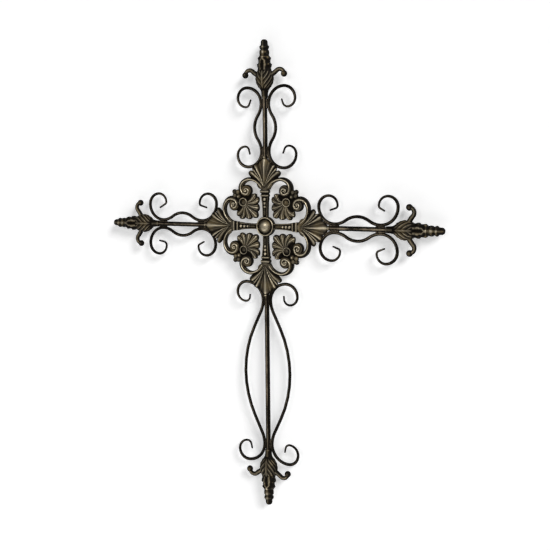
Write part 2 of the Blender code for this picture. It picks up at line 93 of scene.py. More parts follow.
def arm_place(arm):
    """The matrix that takes millimetres in an arm's own frame to metres on the cross."""
    turn = math.radians(TURNS[arm])
    return Matrix.Translation((0, AXIS_Y, 0)) @ Matrix.Rotation(turn, 4, "Y") @ Matrix.Scale(MM, 4)


# %% [markdown]
# ## Helpers for carved metal
# A carved surface is easiest to describe as a rule that says, for a place on the sheet, where it
# lies and how much hands and polish have rubbed it. One helper lays a fine grid over such a rule,
# and another sets a ball into the carving. The rubbing is kept on the vertices as an attribute,
# together with painted shade and painted highlights added later, so that the paint can follow them.

# %% Lay a fine grid over a rule, or a ball
SEAM = 0.0005


def new_shape():
    shape = bmesh.new()
    shape.verts.layers.float.new("worn")
    return shape


def verts_of(made):
    """Only the vertices, out of all that an operator made."""
    return [item for item in made if isinstance(item, bmesh.types.BMVert)]


def lay_sheet(shape, columns, rows, rule):
    """Grid points u, v between 0 and 1 go where rule(u, v) says: across, front, along, worn."""
    worn = shape.verts.layers.float["worn"]
    made = bmesh.ops.create_grid(shape, x_segments=columns, y_segments=rows, size=0.5)["verts"]
    for vert in made:
        across, front, along, rubbed = rule(vert.co.x + 0.5, vert.co.y + 0.5)
        vert.co = (across, -front, along)
        vert[worn] = rubbed
    bmesh.ops.remove_doubles(shape, verts=made, dist=SEAM)


def lay_ball(shape, across, front, along, radii, segments=20, most=1.0):
    """A ball or a squashed ball, rubbed on its front half, up to most at its foremost point."""
    place = Matrix.Translation((across, -front, along)) @ Matrix.Diagonal((*radii, 1.0))
    made = bmesh.ops.create_uvsphere(
        shape, u_segments=segments, v_segments=segments * 2 // 3, radius=1.0, matrix=place
    )["verts"]
    worn = shape.verts.layers.float["worn"]
    for vert in made:
        vert[worn] = most * max(0.0, (-vert.co.y - front) / radii[1])


print("doubles nearer than", SEAM, "mm are merged")

# %% [markdown]
# ## Finishing a piece
# A shape that has been laid may still have an open edge, or faces that look inwards. The finish
# closes it, turns its faces outwards and makes it an object. It also paints shade on the flanks:
# the further a face turns from the front, the darker it is made. The back is dull all over, as
# nobody rubs it.

# %% Close a shape and make it an object
BACK_WORN = 0.4


def paint_flank_shade(shape, share):
    """Paint shade on the flanks, the darker the more they turn from the front, and give the back its
    own even value.
    """
    worn = shape.verts.layers.float["worn"]
    shape.normal_update()
    for vert in shape.verts:
        behind = max(0.0, vert.normal.y)
        # Painted shade: a face loses a share of its light the more it turns from the front.
        rubbed = vert[worn] - share * (1 - max(0.0, -vert.normal.y))
        vert[worn] = rubbed + (BACK_WORN - rubbed) * behind


def finish_shape(shape, name, material, flank_shade):
    """Make the shape an object that rides on the cross, and return it."""
    open_edges = [edge for edge in shape.edges if edge.is_boundary]
    if open_edges:
        bmesh.ops.holes_fill(shape, edges=open_edges)
    bmesh.ops.recalc_face_normals(shape, faces=shape.faces)
    paint_flank_shade(shape, flank_shade)
    mesh = bpy.data.meshes.new(name)
    shape.to_mesh(mesh)
    shape.free()
    mesh.shade_smooth()
    mesh.materials.append(material)
    piece = bpy.data.objects.new(name, mesh)
    bpy.context.scene.collection.objects.link(piece)
    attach(piece, "root")
    print(name, "has", len(mesh.polygons), "faces")
    return piece


print("rubbing of the backs:", BACK_WORN)

# %% [markdown]
# ## Paint written as expressions
# The finish mixes several patterns. Written node by node it would fill pages, so a small class
# wraps a socket and lets plus, minus and times make the Math nodes. One method makes every other
# kind of node from its type, its settings and what goes into its sockets. All patterns are laid
# out on Object coordinates, so they stay the same size on each piece.

# %% A small language for materials
class Value:
    """A number that varies over a surface."""

    def __init__(self, paint, socket):
        self.paint = paint
        self.socket = socket

    def math(self, operation, first, second):
        return self.paint.node("ShaderNodeMath", {"operation": operation}, {0: first, 1: second})

    def __add__(self, other):
        return self.math("ADD", self, other)

    def __radd__(self, other):
        return self.math("ADD", other, self)

    def __sub__(self, other):
        return self.math("SUBTRACT", self, other)

    def __rsub__(self, other):
        return self.math("SUBTRACT", other, self)

    def __mul__(self, other):
        return self.math("MULTIPLY", self, other)

    def __rmul__(self, other):
        return self.math("MULTIPLY", other, self)


class Paint:
    """A material being mixed."""

    def __init__(self, name):
        self.material = bpy.data.materials.new(name)
        self.material.use_nodes = True
        self.tree = self.material.node_tree
        self.shader = self.tree.nodes["Principled BSDF"]

    def feed(self, socket, value):
        if isinstance(value, Value):
            self.tree.links.new(value.socket, socket)
        else:
            socket.default_value = value

    def node(self, kind, settings=None, inputs=None, output=0):
        made = self.tree.nodes.new(kind)
        for key, value in (settings or {}).items():
            setattr(made, key, value)
        for key, value in (inputs or {}).items():
            self.feed(made.inputs[key], value)
        return Value(self, made.outputs[output])

    def place(self):
        return self.node("ShaderNodeTexCoord", output="Object")

    def noise(self, scale, detail=3.0, roughness=0.55):
        return self.node(
            "ShaderNodeTexNoise",
            inputs={"Vector": self.place(), "Scale": scale, "Detail": detail, "Roughness": roughness},
        )

    def attribute(self, name):
        return self.node("ShaderNodeAttribute", {"attribute_name": name}, output="Fac")

    def span(self, value, low, high):
        """0 below low and 1 above high, with a soft step between."""
        return self.node(
            "ShaderNodeMapRange",
            {"interpolation_type": "SMOOTHSTEP"},
            {"Value": value, "From Min": low, "From Max": high},
        )

    def mix(self, share, first, second):
        return self.node(
            "ShaderNodeMix", {"data_type": "RGBA"}, {0: share, 6: first, 7: second}, output=2
        )

    def bump(self, height, strength, distance):
        normal = self.node(
            "ShaderNodeBump", inputs={"Strength": strength, "Distance": distance, "Height": height}
        )
        self.feed(self.shader.inputs["Normal"], normal)

    def surface(self, **sockets):
        for name, value in sockets.items():
            self.feed(self.shader.inputs[name.replace("_", " ")], value)


print("paint helpers:", [name for name in vars(Paint) if not name.startswith("_")])

# %% [markdown]
# ## The antique finish
# The iron is painted nearly black, then a bronze wax is rubbed over what stands out. So the
# colour climbs from near black in the hollows, through brown grey, to a warm pale metal on the
# ridges. Fine noise breaks up each step, and a coarser noise makes some patches warmer than
# others. Every piece also gets painted shade on its flanks. Bar and wire are black, with a painted
# highlight along their front that noise breaks up.

# %% The cast iron finish and the bar finish
NEAR_BLACK = (0.0055, 0.0042, 0.0028, 1.0)
BROWN_GREY = (0.120, 0.101, 0.070, 1.0)
WARM_BROWN = (0.162, 0.124, 0.067, 1.0)
PALE_METAL = (0.92, 0.80, 0.575, 1.0)
DIM_METAL = (0.72, 0.62, 0.455, 1.0)
BAR_DARK = (0.0055, 0.0044, 0.0032, 1.0)
# The colour of the painted highlight stripe along bar and wire:
BAR_HIGHLIGHT = (0.56, 0.45, 0.315, 1.0)


def cast_finish(name, rubbing, pale):
    """rubbing moves the whole finish towards the pale metal; pale is the colour of the ridges."""
    paint = Paint(name)
    worn = paint.attribute("worn")
    speck = paint.noise(900.0, 4.0, 0.65)
    patch = paint.noise(38.0, 3.0, 0.5)
    broken = worn + (speck - 0.5) * 0.42 + (patch - 0.5) * 0.45 + rubbing
    middle = paint.mix(paint.span(patch, 0.42, 0.60), BROWN_GREY, WARM_BROWN)
    color = paint.mix(paint.span(broken, 0.04, 0.42), NEAR_BLACK, middle)
    color = paint.mix(paint.span(broken, 0.40, 0.92), color, pale)
    paint.surface(
        Base_Color=color,
        Metallic=0.8 * paint.span(broken, 0.1, 0.6),
        Roughness=0.58 - 0.22 * paint.span(broken, 0.1, 0.9) + (speck - 0.5) * 0.12,
        Specular_IOR_Level=0.05,
    )
    paint.bump(speck * 0.6 + patch * 0.4, 0.35, 0.0006)
    return paint.material


def bar_finish(name, rubbing):
    """rubbing widens the painted highlight stripe where it is above 0 and narrows it where it is
    below.
    """
    paint = Paint(name)
    worn = paint.attribute("worn")
    speck = paint.noise(700.0, 4.0, 0.6)
    patch = paint.noise(26.0, 3.0, 0.55)
    broken = worn + (speck - 0.5) * 0.5 + (patch - 0.5) * 1.1 + rubbing
    # The pale colour is a painted highlight along the front, broken up by noise.
    color = paint.mix(paint.span(broken, 0.52, 1.05), BAR_DARK, BAR_HIGHLIGHT)
    paint.surface(
        Base_Color=color,
        Metallic=0.85 * paint.span(broken, 0.45, 0.9),
        Roughness=0.40 + (speck - 0.5) * 0.18 + (patch - 0.5) * 0.1,
        Specular_IOR_Level=0.05,
    )
    paint.bump(speck * 0.5 + patch * 0.5, 0.30, 0.0005)
    return paint.material


rosette_finish = cast_finish("rubbed_rosette_iron", 0.075, PALE_METAL)
finial_finish = cast_finish("rubbed_finial_iron", -0.11, DIM_METAL)
rod_finish = bar_finish("dark_rod_iron", -0.15)
wire_finish = bar_finish("dark_wire_iron", -0.25)
print("finishes:", [m.name for m in (rosette_finish, finial_finish, rod_finish, wire_finish)])

# %% [markdown]
# ## Easing between given sizes
# Several pieces have a size that changes along them, such as an arm's half width. A short helper
# eases from one given station to the next, so that a few stations describe a smooth form. A
# second takes straight steps between evenly spaced keys, which keeps an edge sharp. A third
# makes a soft hump, for veins and rings.

# %% Ease between stations
def eased(stations, at):
    """The values at a place, eased between stations of (place, value, value, ...)."""
    if at <= stations[0][0]:
        return stations[0][1:]
    for low, high in zip(stations, stations[1:]):
        if at <= high[0]:
            share = (at - low[0]) / (high[0] - low[0])
            share = share * share * (3 - 2 * share)
            return tuple(a + (b - a) * share for a, b in zip(low[1:], high[1:]))
    return stations[-1][1:]


def even_keys(keys, at):
    """The values at a share from 0 to 1 of evenly spaced keys, in straight steps."""
    place = min(max(at, 0.0), 1.0) * (len(keys) - 1)
    index = min(int(place), len(keys) - 2)
    share = place - index
    return tuple(a + (b - a) * share for a, b in zip(keys[index], keys[index + 1]))


def peak(distance, width):
    """A soft hump: 1 in its middle and nearly 0 at twice its width."""
    return math.exp(-((distance / width) ** 2))


print("a hump at half its width:", round(peak(0.5, 1.0), 2))

# %% [markdown]
# ## The volutes
# Each volute is a broad flat band that leaves the collar, sweeps round in a log spiral and winds
# into a round eye. A raised rib runs near its outer edge all the way into the eye, with a hollow
# channel beside it. The band and the eye are laid first, and the rib is laid on top of both.

# %% Rules of the volute
EYE = (41.5, 69.0)
EYE_RADIUS = 11.9
EYE_BACK = -2.9
SPIRAL_START = math.radians(175)
SPIRAL_RADIUS = 37.8
SPIRAL_DECAY = 0.256
BAND_TURN = math.radians(290)
BAND_BACK = -3.1
BAND_WIDTHS = ((0.0, 5.5), (math.radians(130), 10.2))
BAND_INNERMOST = 7.5
RIB_INSETS = ((0.0, 2.4), (math.radians(60), 4.0), (math.radians(95), 5.0), (math.radians(165), 7.0))
RIB_START = math.radians(6)
RIB_TURN = math.radians(590)
RING_TURN = math.radians(228)
RING_END = 3.0


def spiral_radius(turn):
    return SPIRAL_RADIUS * math.exp(-SPIRAL_DECAY * turn)


def band_width(turn):
    return eased(BAND_WIDTHS, turn)[0]


def rib_inset(turn):
    return eased(RIB_INSETS, turn)[0]


def on_eye(side, radius, turn):
    angle = SPIRAL_START - turn
    return side * (EYE[0] + radius * math.cos(angle)), EYE[1] + radius * math.sin(angle)


def band_rule(side):
    def rule(u, v):
        turn = BAND_TURN * u
        outer = spiral_radius(turn)
        inner = max(outer - band_width(turn), BAND_INNERMOST)
        width = outer - inner
        lip = eased(((11.0, 0.0), (13.0, 1.0)), inner)[0]
        crest = min(0.85, rib_inset(turn) / width)
        rest = 1 - crest
        keys = (
            (0.0, BAND_BACK, 0.0),
            (0.0, 2.4, 0.0),
            (0.06 * crest, 3.4, -0.2),
            (0.40 * crest, 4.7, 0.0),
            (0.74 * crest, 5.6, 0.3),
            (crest, 6.0, 0.5),
            (crest + 0.20 * rest, 5.2, 0.25),
            (crest + 0.34 * rest, 4.2, -0.05),
            (crest + 0.50 * rest, 4.0, -0.05),
            (crest + 0.70 * rest, 4.1 + 0.5 * lip, 0.3),
            (crest + 0.86 * rest, 4.3 + 0.8 * lip, 0.28 + 0.3 * lip),
            (1.0, 3.4 + 0.4 * lip, -0.1),
            (1.0, 1.5, 0.0),
            (1.0, BAND_BACK, 0.0),
            (0.5, BAND_BACK, 0.0),
            (0.0, BAND_BACK, 0.0),
        )
        inset, front, rubbed = even_keys(keys, v)
        across, along = on_eye(side, outer - inset * width, turn)
        return across, front, along, rubbed

    return rule


def eye_rule(side):
    keys = (
        (0.0, 6.0, 0.6),
        (2.2, 5.4, 0.45),
        (3.6, 4.4, 0.1),
        (6.0, 4.3, 0.1),
        (8.0, 4.7, 0.3),
        (9.6, 4.9, 0.35),
        (10.9, 4.0, -0.05),
        (EYE_RADIUS, 2.4, 0.0),
        (EYE_RADIUS, 0.0, 0.0),
        (EYE_RADIUS, EYE_BACK, 0.0),
        (0.0, EYE_BACK, 0.0),
    )

    def rule(u, v):
        radius, front, rubbed = even_keys(keys, v)
        across, along = on_eye(side, radius, math.tau * u)
        return across, front, along, rubbed

    return rule


def rib_rule(side):
    ring_radius = spiral_radius(RING_TURN) - rib_inset(RING_TURN)

    def rule(u, v):
        turn = RIB_START + (RIB_TURN - RIB_START) * u
        if turn < RING_TURN:
            middle = spiral_radius(turn) - rib_inset(turn)
        else:
            share = ((turn - RING_TURN) / (RIB_TURN - RING_TURN)) ** 1.1
            middle = ring_radius + (RING_END - ring_radius) * share
        size = eased(((0.0, 0.8), (0.08, 1.45), (0.55, 1.5), (0.97, 1.15), (1.0, 0.0)), u)[0]
        angle = math.tau * v
        radius = middle + size * math.sin(angle)
        front = 5.6 + size * 1.1 * math.cos(angle)
        across, along = on_eye(side, radius, turn)
        return across, front, along, max(0.0, math.cos(angle)) ** 0.7

    return rule


print("the band's outer edge ends", round(spiral_radius(BAND_TURN), 1), "mm from the eye's middle")

# %% [markdown]
# The same rules serve both sides of an arm, because a side of -1 mirrors them. A small ball fills
# the middle of each eye.

# %% Lay the volutes of one arm
def lay_volutes(shape):
    for side in (-1, 1):
        lay_sheet(shape, 84, 30, band_rule(side))
        lay_sheet(shape, 48, 20, eye_rule(side))
        lay_sheet(shape, 150, 10, rib_rule(side))
        lay_ball(shape, side * EYE[0], 5.4, EYE[1], (2.3, 2.4, 2.3), 16, most=0.9)


print("the eyes lie", EYE[0], "mm to either side of an arm")

# %% [markdown]
# ## The fans
# A palmette fans out over each rod from a point just above the collar: a long middle tongue and
# two lobes on either side. It is a rule in polar form, seen from the front. The outline swells
# at each lobe and pulls in between them. A table of angles says how far the top lies below the
# crest and how rubbed it is, so its ridges and flutes run from the root to the tips. The last
# part of each sheet drops over the edge and returns along the back.

# %% Rules of the fan
TOP_PART = 0.86
FAN_ROOT = 75.0
FAN_BACK = 3.5
FAN_EDGE_FRONT = 4.6
FAN_LOBES = (
    (0.0, 15.5, 60.0, 50.0, 50.0, 1.5, 1.0),
    (27.0, 11.5, 50.5, 50.0, 40.0, 2.3, 0.55),
    (47.5, 9.0, 46.8, 40.0, 30.0, 2.6, 0.5),
)
FAN_HEEL = ((56.5, 30.0), (62.0, 19.0), (120.0, 8.0), (180.0, 5.0))
FAN_CREST = ((0.0, 7.6), (0.25, 8.4), (0.65, 8.8), (0.88, 8.0), (0.97, 6.4), (1.0, FAN_EDGE_FRONT))
FAN_TIP_BEAD = FAN_ROOT + 59.5


def lobe_at(size):
    """Which lobe an angle is in, as its values and the signed offset from its middle, -1 to 1."""
    for lobe in FAN_LOBES:
        offset = (size - lobe[0]) / lobe[1]
        if abs(offset) <= 1:
            return lobe, offset
    return None, 1.0


def fan_outline(angle):
    lobe, offset = lobe_at(abs(angle))
    if lobe is None:
        return eased(FAN_HEEL, abs(angle))[0]
    notch = lobe[3] if offset < 0 else lobe[4]
    return notch + (lobe[2] - notch) * (1 - abs(offset) ** lobe[5]) ** lobe[6]


FAN_RELIEF = (
    (0.0, 0.2, 1.15),
    (3.0, -0.5, 0.5),
    (7.0, -1.5, 0.25),
    (9.5, -1.9, 0.12),
    (12.5, -1.3, 0.5),
    (15.0, -2.2, 0.15),
    (19.5, -2.5, 0.05),
    (23.5, -1.3, 0.4),
    (26.5, -0.4, 1.15),
    (28.8, -1.6, 0.3),
    (31.5, -3.1, -0.3),
    (34.0, -1.8, 0.2),
    (36.0, -0.8, 1.05),
    (38.2, -2.0, 0.0),
    (40.0, -2.1, 0.1),
    (43.0, -1.2, 0.7),
    (47.0, -1.1, 0.6),
    (51.0, -1.9, 0.1),
    (56.5, -3.2, -0.1),
    (70.0, -3.0, 0.3),
    (180.0, -1.2, 0.45),
)


def fan_top(angle, share):
    """Front height and rubbing on top of the fan. The ribs bend outwards on their way to the tips."""
    drop, rubbed = eased(FAN_RELIEF, abs(angle) / (0.66 + 0.34 * share))
    depth = eased(((0.0, 0.3), (0.3, 1.0), (1.0, 0.9)), share)[0]
    height = eased(FAN_CREST, share)[0] + depth * drop
    fade = eased(((0.0, 0.7), (0.12, 1.0), (0.92, 1.0), (0.975, 0.1), (1.0, -0.1)), share)[0]
    return max(height, FAN_BACK + 0.7), rubbed * fade


def over_the_edge(v, edge_front, back):
    """Share of the reach, front and rubbing where a sheet drops over its edge and returns."""
    beyond = (v - TOP_PART) / (1 - TOP_PART)
    return min(1.0, 1.5 * (1 - beyond)), back + (edge_front - back) * max(0.0, 1 - 3 * beyond), 0.0


def fan_rule(u, v):
    angle = (u - 0.5) * 360.0
    if v <= TOP_PART:
        share = v / TOP_PART
        front, rubbed = fan_top(angle, share)
    else:
        share, front, rubbed = over_the_edge(v, FAN_EDGE_FRONT, FAN_BACK)
    turn = math.radians(angle)
    radius = fan_outline(angle) * share
    return radius * math.sin(turn), front, FAN_ROOT + radius * math.cos(turn), rubbed


def lay_fan(shape):
    """One fan and the bead on the tip of its tongue."""
    lay_sheet(shape, 260, 26, fan_rule)
    lay_ball(shape, 0, 5.4, FAN_TIP_BEAD, (3.8, 2.8, 2.2), 16, most=0.8)


print("the fan's outline from 0 to 60 degrees:", [round(fan_outline(a)) for a in range(0, 61, 10)])

# %% [markdown]
# ## The corner leaves
# A broad leaf fills each corner, with its tip at the boss and its stalk between two volutes. Its
# outline is a rounded square seen from the calyx, cut into seven lobes, and three fine ribs run
# out from the calyx to each lobe. Beyond the calyx sit a bead and a bud of three lobes.

# %% Rules of the leaf
CALYX = 65.0
LEAF_HALF_SIDE = 33.0
LEAF_SQUARENESS = 5.0
LEAF_HEEL = 20.0
LEAF_LOBES = 7
LEAF_SPREAD = 196.0
LEAF_BACK = -2.1
LEAF_EDGE_FRONT = 2.4
LEAF_CREST = ((0.0, 6.0), (0.25, 6.4), (0.55, 6.9), (0.85, 5.4), (0.96, 4.0), (1.0, LEAF_EDGE_FRONT))
RIBS_A_LOBE = 3


def leaf_reach(angle):
    """Plain distance from the calyx to the leaf's edge; angle 0 points at the boss."""
    turn = math.radians(angle + 45)
    across, along = abs(math.sin(turn)), abs(math.cos(turn))
    squared = across**LEAF_SQUARENESS + along**LEAF_SQUARENESS
    corner = LEAF_HALF_SIDE / squared ** (1 / LEAF_SQUARENESS)
    return corner + (LEAF_HEEL - corner) * eased(((60.0, 0.0), (105.0, 1.0)), abs(angle))[0]


def leaf_lobe(angle):
    """How far through its lobe an angle is, from 0 to 1, or 0 beyond the lobes."""
    place = (angle / LEAF_SPREAD + 0.5) * LEAF_LOBES
    return place % 1.0 if 0 < place < LEAF_LOBES else 0.0


def leaf_top(angle, share):
    """Front height and rubbing on top of the leaf, with three fine ribs to a lobe."""
    place = leaf_lobe(angle / (0.60 + 0.40 * share**1.4))
    swell = math.sin(math.pi * place) ** 0.6
    rib = (0.5 + 0.5 * math.cos(math.tau * RIBS_A_LOBE * (place - 0.5))) ** 1.6
    depth = eased(((0.0, 0.0), (0.25, 0.6), (0.6, 1.0), (1.0, 0.6)), share)[0]
    height = eased(LEAF_CREST, share)[0] - depth * (2.0 * (1 - swell) + 0.9 * (1 - rib) * swell)
    fade = eased(((0.0, 0.6), (0.3, 1.0), (0.9, 1.0), (0.97, 0.2), (1.0, -0.1)), share)[0]
    return height, (0.12 + 0.80 * rib * swell + 0.14 * swell - 0.55 * (1 - swell)) * fade


def leaf_rule(u, v):
    angle = (u - 0.5) * 360.0
    swell = math.sin(math.pi * leaf_lobe(angle)) ** 0.5
    reach = leaf_reach(angle) * (0.84 + 0.16 * swell)
    if v <= TOP_PART:
        share = v / TOP_PART
        front, rubbed = leaf_top(angle, share)
    else:
        share, front, rubbed = over_the_edge(v, LEAF_EDGE_FRONT, LEAF_BACK)
    turn = math.radians(angle)
    radius = reach * share
    return radius * math.sin(turn), front, CALYX - radius * math.cos(turn), rubbed


print("the leaf reaches", round(leaf_reach(0), 1), "mm from the calyx towards the boss")

# %% [markdown]
# The calyx is a small cup with a raised lip. The lip is a ring whose section is round, and squashed
# balls make the cup's floor, the bead and the bud.

# %% Lay one corner
LIP_RADIUS = 1.1


def calyx_rule(u, v):
    """A pear-shaped ring round the calyx, wider towards the bud."""
    turn = math.tau * u
    size = 7.6 * (1 + 0.16 * math.cos(turn))
    angle = math.tau * v
    radius = size + LIP_RADIUS * math.sin(angle)
    front = 6.5 + LIP_RADIUS * math.cos(angle)
    rubbed = 0.75 * max(0.0, math.cos(angle))
    return radius * math.sin(turn), front, CALYX + 0.5 + radius * math.cos(turn), rubbed


def lay_corner(shape):
    lay_sheet(shape, 220, 26, leaf_rule)
    lay_sheet(shape, 40, 10, calyx_rule)
    lay_ball(shape, 0, 3.6, CALYX, (7.0, 3.0, 7.4), 24, most=0.22)
    lay_ball(shape, -1.6, 5.4, CALYX + 1.0, (1.5, 1.6, 3.0), 12, most=0.6)
    lay_ball(shape, 0, 3.2, 82.0, (6.2, 4.4, 6.0), 20, most=0.25)
    lay_ball(shape, 0, 6.4, 82.0, (2.5, 2.0, 2.5), 14, most=0.8)
    for across, along, most in ((0.0, 95.2, 0.25), (-4.6, 89.6, 0.5), (4.6, 89.6, 0.5)):
        lay_ball(shape, across, 3.2, along, (4.9, 4.2, 5.2), 18, most=most)


print("the calyx lies", CALYX, "mm from the boss's middle")

# %% [markdown]
# ## The casting's arms
# Each arm is a short baluster: a rail along either edge, a hollow front with a string of beads
# that shrink towards the boss, a long tulip below them, and a collar of two rings at the top. Its
# stations give a place along the arm, the half width, the height and how hollow the front is.

# %% Rules of the arm
ARM_BACK = -3.1
ARM_STATIONS = (
    (14.0, 5.5, 5.6, 1.0),
    (30.0, 5.6, 5.8, 1.0),
    (43.0, 6.3, 6.2, 1.0),
    (55.5, 7.6, 6.7, 1.0),
    (57.6, 7.4, 6.2, 0.3),
    (59.0, 8.9, 7.8, 0.0),
    (61.4, 8.9, 7.9, 0.0),
    (63.2, 7.6, 6.4, 0.0),
    (64.4, 7.6, 6.4, 0.0),
    (66.2, 9.6, 8.1, 0.0),
    (70.2, 9.7, 8.2, 0.0),
    (72.0, 7.6, 6.0, 0.0),
    (73.6, 5.6, 4.6, 0.0),
    (75.0, 4.4, 4.0, 0.0),
)
ARM_BEADS = ((53.0, 3.7), (45.4, 3.3), (38.4, 2.8))
COLLARS = ((60.2, 1.5), (68.2, 2.0))
COLLAR_FRONT = 3


def arm_rule(u, v):
    along = ARM_STATIONS[0][0] + (ARM_STATIONS[-1][0] - ARM_STATIONS[0][0]) * u
    half, height, hollow = eased(ARM_STATIONS, along)
    sink = 2.0 * hollow
    half_keys = (
        (-half, ARM_BACK, 0.0),
        (-half, height * 0.55, 0.0),
        (-half + 0.5, height - 0.6, 0.35),
        (-half + 1.3, height, 0.7),
        (-half + 2.3, height - 0.6 * sink, 0.25),
        (-half + 3.0, height - sink, -0.1),
        (-half * 0.2, height - sink + 0.3 * (1 - hollow), -0.1 * hollow),
    )
    keys = half_keys + tuple((-x, y, w) for x, y, w in half_keys[::-1]) + (half_keys[0],)
    across, front, rubbed = even_keys(keys, v)
    if hollow < 1 and front > COLLAR_FRONT:
        ring = max(peak(along - middle, width) for middle, width in COLLARS)
        rubbed = rubbed * hollow + (1 - hollow) * (0.95 * ring - 0.12)
    return across, front, along, rubbed


def lay_arm(shape):
    lay_sheet(shape, 100, 30, arm_rule)
    for along, radius in ARM_BEADS:
        lay_ball(shape, 0, 4.4, along, (radius, radius * 0.95, radius), 16, most=0.9)
    lay_ball(shape, 0, 4.1, 27.5, (2.5, 2.6, 7.6), 16, most=0.35)
    lay_ball(shape, 0, 4.2, 33.8, (2.9, 2.9, 1.6), 16, most=0.5)


print("radii of the beads in mm:", [radius for _, radius in ARM_BEADS])

# %% [markdown]
# ## The boss
# The boss is turned work: a domed middle, a groove, a raised rim, and behind it a plain round pad
# that meets the wall. A profile of a few points is spun once round the axis that faces us.

# %% Spin the boss
# Each point gives a radius, a front and how rubbed it is. On the dome the rubbing is partly real and
# partly a painted highlight, brightest in the middle.
BOSS_PROFILE = (
    (0.0, 11.4, 1.0),
    (3.6, 11.1, 0.95),
    (7.2, 10.1, 0.72),
    (10.4, 8.5, 0.45),
    (12.8, 6.6, 0.25),
    (14.2, 4.9, -0.1),
    (15.0, 4.6, -0.15),
    (15.6, 5.4, 0.0),
    (16.2, 6.8, 0.6),
    (17.0, 7.5, 0.95),
    (17.8, 7.3, 0.8),
    (18.6, 6.2, 0.2),
    (19.2, 4.6, -0.1),
    (19.3, 3.6, -0.1),
    (19.3, -3.3, 0.0),
    (13.0, -3.3, 0.0),
)
BOSS_STEPS = 96
PAD_RADIUS = BOSS_PROFILE[-1][0]


def lay_boss(shape):
    worn = shape.verts.layers.float["worn"]
    pad_back = AXIS_Y / MM
    points = BOSS_PROFILE + ((PAD_RADIUS, pad_back, 0.0), (0.0, pad_back, 0.0))
    line = []
    for radius, front, rubbed in points:
        vert = shape.verts.new((radius, -front, 0.0))
        vert[worn] = rubbed
        line.append(vert)
    edges = [shape.edges.new(pair) for pair in zip(line, line[1:])]
    before = set(shape.verts) - set(line)
    bmesh.ops.spin(
        shape,
        geom=line + edges,
        cent=(0, 0, 0),
        axis=(0, 1, 0),
        angle=math.tau,
        steps=BOSS_STEPS,
        use_merge=True,
    )
    made = [vert for vert in shape.verts if vert not in before]
    bmesh.ops.remove_doubles(shape, verts=made, dist=SEAM)


print("the boss stands", BOSS_PROFILE[0][1], "mm before the rods' axis")

# %% [markdown]
# ## Put the casting together
# A quarter of the casting holds one arm with its fan and volutes, and one corner with its leaf.
# The quarter is duplicated and turned three times, and the boss goes in last. It is all one
# object, because the real one is a single casting.

# %% Lay a quarter, turn it round and finish the casting
def make_rosette():
    shape = new_shape()
    lay_corner(shape)
    bmesh.ops.rotate(shape, verts=shape.verts, matrix=Matrix.Rotation(math.radians(45), 3, "Y"))
    lay_arm(shape)
    lay_volutes(shape)
    lay_fan(shape)
    quarter = shape.verts[:] + shape.edges[:] + shape.faces[:]
    for degrees in (90, 180, 270):
        verts = verts_of(bmesh.ops.duplicate(shape, geom=quarter)["geom"])
        bmesh.ops.rotate(shape, verts=verts, matrix=Matrix.Rotation(math.radians(degrees), 3, "Y"))
    lay_boss(shape)
    bmesh.ops.transform(shape, matrix=arm_place("top"), verts=shape.verts)
    return finish_shape(shape, "cast_rosette", rosette_finish, 0.7)


rosette = make_rosette()
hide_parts("center_rosette")

# %% [markdown]
# ## The scroll wires
# A smith bends each wire from one length: a bow over the rod, then a large curl at either end that
# tightens and stops in a small hook. Each curl is bent a little differently, so each end has its
# own row: the radii of three quarter turns, the radius and angle of the hook, and the length of
# its straight end. The outer end comes first.

# %% Plan the moves of a scroll
WIRE_GAP = 0.3
FAN_TIP = FAN_ROOT + FAN_LOBES[0][2]
CONTACT = ROD_RADIUS + WIRE_RADIUS + WIRE_GAP
SHORT_SCROLL = dict(bow=23.0, straight=2.0, flank=39.0, inset=10.3)
LONG_SCROLL = dict(bow=48.8, straight=35.0, flank=51.0, inset=10.1)
CURLS = {
    "top_left": ((31.4, 19.6, 17.7, 7.3, 67, 10.4), (29.6, 23.1, 16.6, 8.5, 76, 8.9)),
    "top_right": ((33.0, 23.7, 16.1, 10.5, 71, 8.0), (31.6, 26.6, 15.8, 9.7, 68, 9.0)),
    "right_upper": ((34.1, 19.6, 18.0, 5.0, 60, 10.4), (32.4, 20.9, 17.9, 6.0, 72, 12.0)),
    "right_lower": ((32.4, 22.7, 17.8, 6.2, 69, 12.8), (30.1, 23.2, 17.8, 5.6, 70, 11.8)),
    "bottom_right": ((36.1, 20.7, 18.2, 9.2, 79, 8.1), (34.0, 24.1, 16.8, 12.0, 86, 6.0)),
    "bottom_left": ((35.8, 20.2, 17.8, 8.4, 79, 8.7), (35.6, 21.1, 18.0, 9.3, 84, 5.5)),
    "left_lower": ((32.3, 21.4, 17.7, 7.4, 80, 11.5), (31.0, 22.6, 17.7, 4.5, 62, 12.6)),
    "left_upper": ((31.5, 22.0, 17.1, 4.8, 60, 15.0), (34.3, 19.8, 19.5, 4.5, 74, 14.0)),
}
QUARTER_TURN = math.radians(90)


def scroll_moves(reach, curl, bow, straight, flank, inset):
    """Half a scroll, from the crown of its bow to one tip, and where its middle and length lie."""
    mouth = reach - FINIAL_LENGTH
    contact = (mouth - FAN_TIP) / 2 - inset
    slope = 2 * math.atan((bow - CONTACT) / (contact + straight))
    both = (contact - straight * math.cos(slope)) / math.sin(slope)
    moves = [
        (both - flank, -slope),
        (straight, None),
        (flank, slope),
        (curl[0], QUARTER_TURN),
        (curl[1], QUARTER_TURN),
        (curl[2], QUARTER_TURN),
        (curl[3], math.radians(curl[4])),
        (curl[5], None),
    ]
    length = sum(size if turn is None else size * abs(turn) for size, turn in moves)
    return moves, (FAN_TIP + mouth) / 2, length


print("a wire's middle stands", round(CONTACT, 2), "mm from the rod's where they touch")

